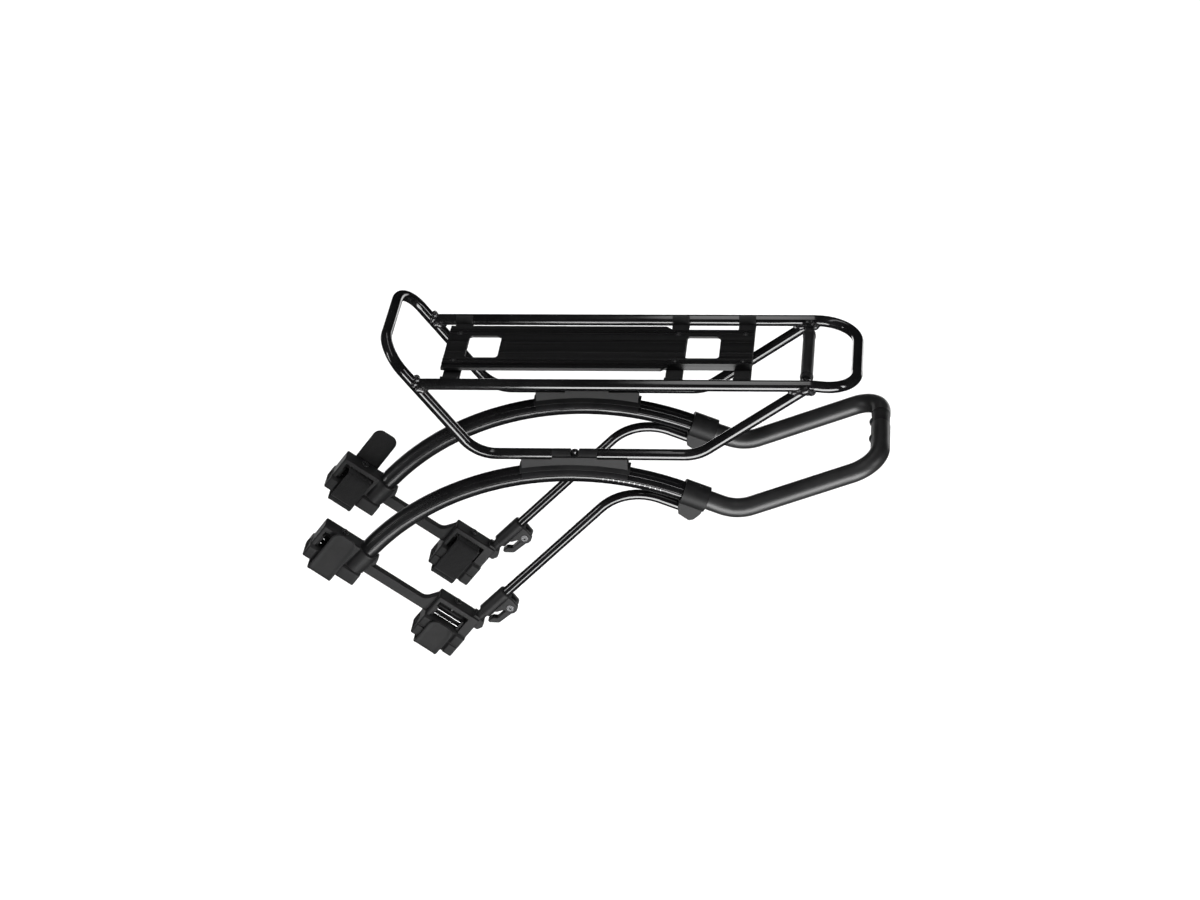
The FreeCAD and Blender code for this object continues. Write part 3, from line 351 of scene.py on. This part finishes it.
def bright_steel():
    """Bright drawn steel rod, with fine lines round it."""
    g = Graph("bright_drawn_steel")
    lines = g.noise(scale=1.0, detail=2.0, rough=0.6, vector=g.stretched((2600.0, 300.0, 2600.0)))
    colour = g.blend(lines, (0.3, 0.3, 0.303), (0.5, 0.5, 0.505))
    rough = g.spread(lines, to_low=0.1, to_high=0.18)
    normal = g.relief(lines, distance=0.00001, strength=0.4)
    return g.finish(colour, rough, normal, Metallic=1.0)


def printed_white():
    """White marking ink, slightly broken."""
    g = Graph("marking_ink")
    broken = g.noise(scale=1800, detail=3.0, rough=0.7)
    colour = g.shade(broken, dark=(0.3, 0.3, 0.3), light=(0.6, 0.6, 0.6), low=0.35, high=0.6)
    rough = g.spread(broken, to_low=0.4, to_high=0.6)
    normal = g.relief(broken, distance=0.00002, strength=0.4)
    return g.finish(colour, rough, normal, Specular_IOR_Level=0.4)


materials = {
    "gloss_black_tube": gloss_black_tube(),
    "black_arm": black_arm(),
    "black_loop": black_loop(),
    "anodised_deck": anodised_deck(),
    "painted_strip": painted_strip(),
    "black_nylon": black_nylon(),
    "nylon_liner": nylon_liner(),
    "soft_rubber": soft_rubber(),
    "dark_steel": dark_steel(),
    "bright_steel": bright_steel(),
}
smooth_strap = strap_smooth()
looped_strap = strap_looped()
ink = printed_white()
weld_paint = painted_weld()

bar_slots = ("gloss_black_tube", "black_arm", "black_loop")


def dress_cad_nodes():
    """Gives each solid node the material of its slot, and smooths the bars' shading."""
    for part in frame["record"]["subparts"]:
        chosen = materials.get(part["material_slot"])
        if chosen is None:
            continue
        node = frame["nodes"][part["node"]]
        for place in node.material_slots:
            place.material = chosen
        if part["material_slot"] in bar_slots:
            even = node.modifiers.new("even_normals", "WEIGHTED_NORMAL")
            even.keep_sharp = True


# ---- Mesh helpers ---------------------------------------------------------------
def bracket_point(level, side, s, y, t):
    """A point given in one bracket block's own s, y and t, in the row frame, in metres."""
    if level == "lower":
        s += lower_s
        t += lower_t
    a = math.radians(bracket_angle)
    along = s - upper_clamp_s
    up = t - upper_clamp_t
    x = along * math.cos(a) + up * math.sin(a)
    z = up * math.cos(a) - along * math.sin(a)
    return Vector((x, side * half_track + y, z)) * MM


def piece_from(name, verts, faces, material):
    mesh = bpy.data.meshes.new(name)
    mesh.from_pydata([tuple(v) for v in verts], [], faces)
    mesh.validate()
    for polygon in mesh.polygons:
        polygon.use_smooth = len(polygon.vertices) == 4
    mesh.materials.append(material)
    obj = bpy.data.objects.new(name, mesh)
    bpy.context.scene.collection.objects.link(obj)
    return obj


def tube_faces(rings, count, closed=False, caps=True):
    """Faces between rings of count points each."""
    faces = []
    last = rings if closed else rings - 1
    for i in range(last):
        a = i * count
        b = ((i + 1) % rings) * count
        for j in range(count):
            k = (j + 1) % count
            faces.append((a + j, a + k, b + k, b + j))
    if caps and not closed:
        faces.append(tuple(reversed(range(count))))
        faces.append(tuple(range((rings - 1) * count, rings * count)))
    return faces


bend_step = 0.7
route_step = 1.6


def rounded_route(points, bends):
    """Polyline in a plane with its corners rounded, cut into short steps."""
    corners = [Vector(p) for p in points]
    route = [corners[0]]
    for i in range(1, len(corners) - 1):
        here = corners[i]
        before = (corners[i - 1] - here).normalized()
        after = (corners[i + 1] - here).normalized()
        half = before.angle(after) / 2
        radius = bends[i - 1]
        cut = radius / math.tan(half)
        start = here + before * cut
        end = here + after * cut
        centre = here + (before + after).normalized() * (radius / math.sin(half))
        sweep = math.pi - 2 * half
        count = max(4, int(sweep * radius / bend_step))
        first = start - centre
        sign = 1.0 if (first.x * (end - centre).y - first.y * (end - centre).x) > 0 else -1.0
        for k in range(count + 1):
            a = sign * sweep * k / count
            turned = Vector((first.x * math.cos(a) - first.y * math.sin(a),
                             first.x * math.sin(a) + first.y * math.cos(a)))
            route.append(centre + turned)
    route.append(corners[-1])
    fine = [route[0]]
    for a, b in zip(route, route[1:]):
        count = max(1, int((b - a).length / route_step))
        for k in range(1, count + 1):
            fine.append(a.lerp(b, k / count))
    return fine


# ---- Straps ---------------------------------------------------------------------
edge_r = 0.75
edge_steps = 4
hem = 2.2
hem_slope = 0.5
hem_step = 0.16
face_steps = 8
tip_r = 8.0
tip_thin = 0.25
tip_margin = 0.4
tip_steps = (0.0, 0.08, 0.25, 0.5, 0.9, 1.5, 2.3, 3.3, 4.5, 6.0, 8.0)
ripple_along = 7.0
ripple_across = 9.0
strap_bend = 4.2
fixed_rise = 2.0
held_y = 6.4
held_t = -14.0
held_bend = 3.0
stretch_margin = 0.5
stretch_end_t = -16.0
front_t = -8.6
near_upper_end_t = 5.0
near_lower_end_t = -20.5
standing_foot = (9.6, front_t)
standing_tip = (11.4, 35.5)


def strap_section():
    """Outline of the strap's section, as (place across, height), with raised hems."""
    half = strap_width / 2
    face = strap_thick / 2
    top = []
    for k in range(edge_steps + 1):
        a = math.radians(90 * k / edge_steps)
        top.append((half - edge_r + edge_r * math.cos(a), face - edge_r + edge_r * math.sin(a)))
    top.append((half - hem, face))
    inner = half - hem - hem_slope
    top.append((inner, face - hem_step))
    border = list(top)
    for k in range(1, face_steps):
        top.append((inner - 2 * inner * k / face_steps, face - hem_step))
    top += [(-x, h) for x, h in reversed(border)]
    bottom = [(x, -h) for x, h in reversed(top)]
    return top + bottom


def tip_scale(distance):
    """Width and thickness left at a distance from the strap's rounded end."""
    half = strap_width / 2
    d = min(distance, tip_r)
    wide = (half - tip_r + math.sqrt(max(0.0, tip_r ** 2 - (tip_r - d) ** 2))) / half
    e = min(distance, edge_r)
    thick = tip_thin + (1 - tip_thin) * math.sqrt(max(0.0, 1 - (1 - e / edge_r) ** 2))
    return wide, thick


def strap_piece(name, level, side, route, s0, material, round_end, sag=0.0):
    """Strap swept along a route in the block's cross plane."""
    section = strap_section()
    lengths = [0.0]
    for a, b in zip(route, route[1:]):
        lengths.append(lengths[-1] + (b - a).length)
    total = lengths[-1]
    if round_end:
        kept = [(p, d) for p, d in zip(route, lengths) if total - d > tip_r + tip_margin]
        direction = (route[-1] - route[-2]).normalized()
        for distance in reversed(tip_steps):
            kept.append((route[-1] - direction * distance, total - distance))
    else:
        kept = list(zip(route, lengths))
    verts = []
    marks = []
    for i, (p, d) in enumerate(kept):
        before = kept[max(0, i - 1)][0]
        after = kept[min(len(kept) - 1, i + 1)][0]
        heading = (after - before).normalized()
        out = Vector((heading.y, -heading.x))
        wide, thick = tip_scale(total - d) if round_end else (1.0, 1.0)
        for across, height in section:
            ripple = sag * math.sin(d / ripple_along + across / ripple_across)
            q = p + out * (height * thick + ripple)
            s = s0 + strap_width / 2 + across * wide
            verts.append(bracket_point(level, side, s, q.x, q.y))
            marks.append((d * MM, across * wide * MM))
    faces = tube_faces(len(kept), len(section))
    obj = piece_from(name, verts, faces, material)
    layer = obj.data.uv_layers.new(name="strap")
    for loop in obj.data.loops:
        layer.data[loop.index].uv = marks[loop.vertex_index]
    return obj


def strap(side_name, level, side, s0, front, front_bends, material, round_end, sag):
    """A strap in pieces: the runs that hang on the tensioner are separate pieces, and the rest is
    attached to the stay brackets.

    A strap whose front end goes back over the tensioner's rods has its front run as a separate piece too.
    """
    node = side_name + "_" + level + "_strap"
    bottom = clamps[level][1] - stay_r - strap_room - strap_thick / 2
    split = bottom + strap_bend + fixed_rise
    middle = s0 + strap_width / 2
    threaded = len(front) > 1
    around = [(strap_off, split), (strap_off, bottom), (-strap_off, bottom)]
    around += [(-strap_off, split)] if threaded else front
    rest = rounded_route(around, [strap_bend, strap_bend])
    loop = strap_piece(node + "_face", level, side, rest, s0, material, round_end and not threaded, sag)
    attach(loop, "stay_brackets")
    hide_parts(node)
    back = rounded_route([(held_y, held_t), (strap_off, held_t), (strap_off, split)], [held_bend])
    runs = [(strap_piece(node + "_run", level, side, back, s0, material, False), strap_off)]
    if threaded:
        tail = rounded_route([(-strap_off, split)] + front, front_bends)
        tail_piece = strap_piece(node + "_tail", level, side, tail, s0, material, round_end, sag)
        runs.append((tail_piece, -strap_off))
    for run, off in runs:
        bracket_point(level, side, middle, off, split + stretch_margin)
        bracket_point(level, side, middle, off, stretch_end_t)
        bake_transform(run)


def make_straps():
    """Near straps end on the block's front; far ones go back over the rods, the upper one stands up."""
    over_rods = [(-strap_off, front_t), (0.0, front_t)]
    standing = [(-strap_off, front_t), standing_foot, standing_tip]
    strap("left", "upper", -1, s0=10.2, front=[(-strap_off, near_upper_end_t)], front_bends=[],
          material=smooth_strap, round_end=True, sag=0.12)
    strap("left", "lower", -1, s0=7.0, front=[(-strap_off, near_lower_end_t)], front_bends=[],
          material=smooth_strap, round_end=True, sag=0.1)
    strap("right", "upper", 1, s0=9.5, front=standing, front_bends=[2.5, 2.0],
          material=looped_strap, round_end=True, sag=0.1)
    strap("right", "lower", 1, s0=7.0, front=over_rods, front_bends=[2.5],
          material=looped_strap, round_end=False, sag=0.1)


# ---- Pads -----------------------------------------------------------------------
lobe_step = 1.2
lobe_round = 1.1
lobe_gap = 0.4
lobe_offsets = (0.0, 0.05, 0.15, 0.35, 0.65, 1.1)
row_offsets = (0.0, lobe_gap, lobe_gap + 0.06, lobe_gap + 0.2, lobe_gap + 0.5, lobe_gap + 1.1)
bay_start = 8.0
bay_end = 34.0
bay_steps = 10
flank_steps = 5
pad_top = block_base - 0.02
end_round = 0.9
corner_r = 1.6
corner_steps = 4
hollow_steps = 20
lip = 0.35


def lobe_spans(level):
    """The two stretches of a pad's flank that stand out, before and after the strap's bay."""
    return ((pad_front, bay_start), (bay_end, pad_ends[level]))


def lobe_rise(s, t, level):
    """How far the pad's flank stands out at a place."""
    base = pad_bases[level]
    height = (pad_top - base) / pad_rows[level]
    best = 0.0
    for s0, s1 in lobe_spans(level):
        for row in range(pad_rows[level]):
            t0 = base + row * height + lobe_gap
            t1 = base + (row + 1) * height - lobe_gap
            d = min(s - s0, s1 - s, t - t0, t1 - t)
            if d > 0:
                d = min(d, lobe_round)
                best = max(best, lobe_step * math.sqrt(1 - (1 - d / lobe_round) ** 2))
    return best


def pad_stations(level):
    """Places along the pad, close together where its shape turns."""
    places = set()
    for s0, s1 in lobe_spans(level):
        for d in lobe_offsets:
            places.add(round(s0 + d, 3))
            places.add(round(s1 - d, 3))
        for k in range(1, flank_steps):
            places.add(round(s0 + (s1 - s0) * k / flank_steps, 3))
    for k in range(1, bay_steps):
        places.add(round(bay_start + (bay_end - bay_start) * k / bay_steps, 3))
    return sorted(places)


def pad_outline(level, s):
    """Section of a pad across the stay at one place along it."""
    base = pad_bases[level]
    clamp_s, clamp_t = clamps[level]
    centre = clamp_t - (s - clamp_s) * math.tan(math.radians(stay_tilt))
    body = pad_half - lobe_step
    shrink = 0.0
    near = min(s - pad_front, pad_ends[level] - s)
    if near < lobe_round:
        shrink = end_round * (1 - math.sqrt(max(0.0, 1 - (1 - near / lobe_round) ** 2)))
    rows = pad_rows[level]
    height = (pad_top - base) / rows
    heights = set()
    for row in range(rows):
        for d in (*row_offsets, height / 3):
            heights.add(round(base + row * height + d, 3))
            heights.add(round(base + (row + 1) * height - d, 3))
    foot = base + shrink
    right = []
    wide = body + lobe_rise(s, base + corner_r, level) - shrink
    for k in range(corner_steps + 1):
        a = math.radians(90 * k / corner_steps)
        right.append((wide - corner_r + corner_r * math.sin(a), foot + corner_r - corner_r * math.cos(a)))
    for t in sorted(heights):
        if base + corner_r < t < pad_top + 0.001:
            right.append((body + lobe_rise(s, t, level) - shrink, t))
    rise = foot - centre
    opening = math.sqrt(stay_r ** 2 - rise ** 2)
    first = math.atan2(rise, opening)
    hollow = []
    for k in range(hollow_steps + 1):
        a = first + (math.pi - 2 * first) * k / hollow_steps
        hollow.append((stay_r * math.cos(a), centre + stay_r * math.sin(a)))
    hollow[0] = (hollow[0][0] + lip, foot)
    hollow[-1] = (hollow[-1][0] - lip, foot)
    left = [(-y, t) for y, t in reversed(right)]
    return right + left + list(reversed(hollow))


def make_pads():
    for side_name, side in sides:
        for level in ("upper", "lower"):
            stations = pad_stations(level)
            verts = []
            for s in stations:
                section = pad_outline(level, s)
                verts += [bracket_point(level, side, s, y, t) for y, t in section]
            node = side_name + "_" + level + "_pad"
            obj = piece_from(node + "_rubber", verts, tube_faces(len(stations), len(section)),
                             materials["soft_rubber"])
            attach(obj, "stay_brackets")
            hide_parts(node)


# ---- Weld beads -------------------------------------------------------------------
bead_r = 3.6
bead_around = 8
bead_ripple = 0.16
ripple_points = 5.0
wander_turn = 0.61
front_seam_points = 40
rear_seam_points = 48
light_seam_points = 28
light_seam_reach = 3.0


def bead_ring(name, path, phase):
    """Rippled bead of filler along a closed path of points, in millimetres."""
    count = len(path)
    verts = []
    for i, p in enumerate(path):
        heading = (path[(i + 1) % count] - path[i - 1]).normalized()
        side = heading.orthogonal().normalized()
        up = heading.cross(side)
        wave = math.sin(i * math.tau / ripple_points + phase)
        wander = math.sin(i * wander_turn + phase)
        radius = bead_r * (1 + bead_ripple * (wave + wander))
        for k in range(bead_around):
            a = math.tau * k / bead_around
            verts.append((p + (side * math.cos(a) + up * math.sin(a)) * radius) * MM)
    faces = tube_faces(count, bead_around, closed=True)
    obj = piece_from(name, verts, faces, weld_paint)
    smooth = obj.modifiers.new("soften", "SUBSURF")
    smooth.levels = 1
    smooth.render_levels = 1
    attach(obj, "platform")


def seam_path(joint, branch, main, count):
    """Where a tube that leaves the joint along branch meets an equal tube along main, in the XZ plane."""
    across = Vector((-branch.z, 0, branch.x))
    normal = Vector((-main.z, 0, main.x))
    path = []
    for i in range(count):
        a = math.tau * i / count
        reach = []
        for sign in (1, -1):
            reach.append(rail_r * math.sin(a) * (sign - across.dot(normal)) / branch.dot(normal))
        out = Vector((0, math.cos(a), 0)) + across * math.sin(a)
        path.append(joint + branch * max(reach) + out * rail_r)
    return path


def light_bar_seam(side, count):
    """Where the light bar meets an upper rail."""
    path = []
    for i in range(count):
        a = math.tau * i / count
        x = light_bar_x + light_bar_r * math.cos(a)
        z = light_bar_z + light_bar_r * math.sin(a)
        reach = math.sqrt(max(rail_r ** 2 - (z - top_rail_z) ** 2, light_seam_reach ** 2))
        path.append(Vector((x, side * (half_track - reach), z)))
    return path


def make_welds():
    leg = math.radians(leg_angle)
    stay = math.radians(stay_rise)
    leg_dir = Vector((math.cos(leg), 0, -math.sin(leg)))
    stay_dir = Vector((-math.cos(stay), 0, -math.sin(stay)))
    front_x = hoop_x + (hoop_z - top_rail_z) / math.tan(leg)
    back = Vector((1, 0, 0))
    for name, side in sides:
        front = Vector((front_x, side * half_track, top_rail_z))
        rear = Vector((stay_top_x, side * half_track, top_rail_z))
        front_seam = seam_path(front, back, leg_dir, front_seam_points)
        rear_seam = seam_path(rear, stay_dir, back, rear_seam_points)
        bead_ring(name + "_front_weld", front_seam, phase=0.3 * side)
        bead_ring(name + "_rear_weld", rear_seam, phase=1.1 * side)
        bead_ring(name + "_light_bar_weld", light_bar_seam(side, light_seam_points), phase=0.7 * side)


# ---- Scale marks on the left arm -----------------------------------------------------
mark_count = 12
mark_first_x = 253.0
mark_last_x = 303.0
mark_half_wide = 0.42
mark_low = -9.0
mark_high = 1.0
mark_lift = 0.06
mark_sink = -0.15
mark_steps = 6
mark_ring = 4


def make_marks():
    """Evenly spaced short lines across the arm's outer face."""
    verts = []
    faces = []
    for i in range(mark_count):
        x = mark_first_x + (mark_last_x - mark_first_x) * i / (mark_count - 1)
        place = math.acos((x - arc_x) / arc_radius)
        base = len(verts)
        for k in range(mark_steps + 1):
            a = math.radians(mark_low + (mark_high - mark_low) * k / mark_steps)
            for along in (-mark_half_wide, mark_half_wide):
                for lift in (mark_lift, mark_sink):
                    turn = place - along / arc_radius
                    r = arm_r + lift
                    radius = arc_radius + r * math.sin(a)
                    mark_x = arc_x + radius * math.cos(turn)
                    mark_z = arc_z + radius * math.sin(turn)
                    verts.append(Vector((mark_x, -half_track - r * math.cos(a), mark_z)) * MM)
        for k in range(mark_steps):
            p = base + mark_ring * k
            q = p + mark_ring
            faces += [(p, p + 2, q + 2, q), (p, q, q + 1, p + 1), (p + 2, p + 3, q + 3, q + 2),
                      (p + 1, q + 1, q + 3, p + 3)]
        end = base + mark_ring * mark_steps
        faces += [(base, base + 1, base + 3, base + 2), (end, end + 2, end + 3, end + 1)]
    obj = piece_from("arm_scale_marks", verts, faces, ink)
    for polygon in obj.data.polygons:
        polygon.use_smooth = False
    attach(obj, "rack_frame")


# ---- Floor, lights and camera ------------------------------------------------------------
floor_z = -1.9
floor_size = 80.0
floor_tiles = 8


def make_floor():
    """Pale floor far below the part, so that no shadow falls beside it."""
    row = floor_tiles + 1
    verts = []
    for i in range(row):
        for j in range(row):
            x = floor_size * (i / floor_tiles - 0.5)
            y = floor_size * (j / floor_tiles - 0.5)
            verts.append((x, y, floor_z))
    faces = []
    for i in range(floor_tiles):
        for j in range(floor_tiles):
            a = i * row + j
            faces.append((a, a + row, a + row + 1, a + 1))
    g = Graph("pale_floor")
    speck = g.noise(scale=3.0, detail=3.0)
    colour = g.blend(speck, (0.93, 0.93, 0.93), (0.96, 0.96, 0.96))
    rough = g.spread(speck, to_low=0.85, to_high=0.95)
    normal = g.relief(speck, distance=0.0001, strength=0.1)
    material = g.finish(colour, rough, normal, Specular_IOR_Level=0.0)
    mesh = bpy.data.meshes.new("floor")
    mesh.from_pydata(verts, [], faces)
    mesh.materials.append(material)
    floor = bpy.data.objects.new("floor", mesh)
    bpy.context.scene.collection.objects.link(floor)
    floor.visible_glossy = False


def area_light(name, place, target, wide, high, power):
    data = bpy.data.lights.new(name, "AREA")
    data.shape = "RECTANGLE"
    data.size = wide
    data.size_y = high
    data.energy = power
    obj = bpy.data.objects.new(name, data)
    bpy.context.scene.collection.objects.link(obj)
    obj.location = place
    obj.rotation_mode = "QUATERNION"
    obj.rotation_quaternion = (Vector(target) - Vector(place)).to_track_quat("-Z", "Y")
    obj.visible_camera = False


def soft_sun(name, turn, strength, spread):
    """Broad, even light that leaves no mirror image in the gloss surfaces."""
    data = bpy.data.lights.new(name, "SUN")
    data.energy = strength
    data.angle = math.radians(spread)
    obj = bpy.data.objects.new(name, data)
    bpy.context.scene.collection.objects.link(obj)
    obj.rotation_euler = (math.radians(turn[0]), math.radians(turn[1]), 0.0)
    obj.visible_glossy = False


backdrop_strength = 0.95
middle = (0.24, 0.0, 0.08)
low_middle = (0.24, 0.0, 0.05)


def make_lights():
    """Soft even light from above, a low soft box in front and strips on the other sides."""
    world = bpy.data.worlds.new("studio")
    world.use_nodes = True
    sky = world.node_tree.nodes["Background"]
    sky.inputs["Color"].default_value = (1.0, 1.0, 1.0, 1.0)
    sky.inputs["Strength"].default_value = backdrop_strength
    world.cycles_visibility.glossy = False
    world.cycles_visibility.diffuse = False
    bpy.context.scene.world = world
    soft_sun("soft_top", turn=(18.0, -12.0), strength=3.4, spread=80.0)
    soft_sun("back_fill", turn=(-78.0, 0.0), strength=3.0, spread=50.0)
    area_light("front_box", (1.0, -1.59, -0.765), (1.0, 0.0, 0.08), wide=2.1, high=1.2, power=66.0)
    area_light("overhead_strip", (0.25, 0.0, 2.1), middle, wide=3.0, high=0.26, power=4.5)
    area_light("back_strip", (0.25, 1.75, -0.35), middle, wide=3.4, high=0.6, power=13.0)
    area_light("left_strip", (-1.9, -0.9, 0.25), low_middle, wide=0.3, high=1.2, power=8.0)
    area_light("right_strip", (2.3, -0.9, 0.5), low_middle, wide=0.3, high=1.2, power=8.0)


camera_azimuth = 6.979
camera_elevation = 31.679
camera_roll = -3.230
camera_distance = 2.6786
camera_aim = (0.2436, 0.0, 0.0850)
camera_lens = 90.0
camera_sensor = 36.0
camera_near = 0.05
camera_far = 60.0


def make_camera():
    a = math.radians(camera_azimuth)
    e = math.radians(camera_elevation)
    roll = math.radians(camera_roll)
    back = Vector((math.sin(a) * math.cos(e), -math.cos(a) * math.cos(e), math.sin(e)))
    right = Vector((math.cos(a), math.sin(a), 0))
    up = back.cross(right)
    across = right * math.cos(roll) + up * math.sin(roll)
    tall = up * math.cos(roll) - right * math.sin(roll)
    data = bpy.data.cameras.new("camera")
    data.lens = camera_lens
    data.sensor_width = camera_sensor
    data.clip_start = camera_near
    data.clip_end = camera_far
    obj = bpy.data.objects.new("camera", data)
    bpy.context.scene.collection.objects.link(obj)
    turn = Matrix((across, tall, back)).transposed().to_4x4()
    obj.matrix_world = Matrix.Translation(Vector(camera_aim) + back * camera_distance) @ turn
    bpy.context.scene.camera = obj


make_camera()
make_lights()
make_floor()
dress_cad_nodes()
make_straps()
make_pads()
make_welds()
make_marks()
bpy.context.scene.view_settings.view_transform = "Standard"

bpy.context.view_layer.update()
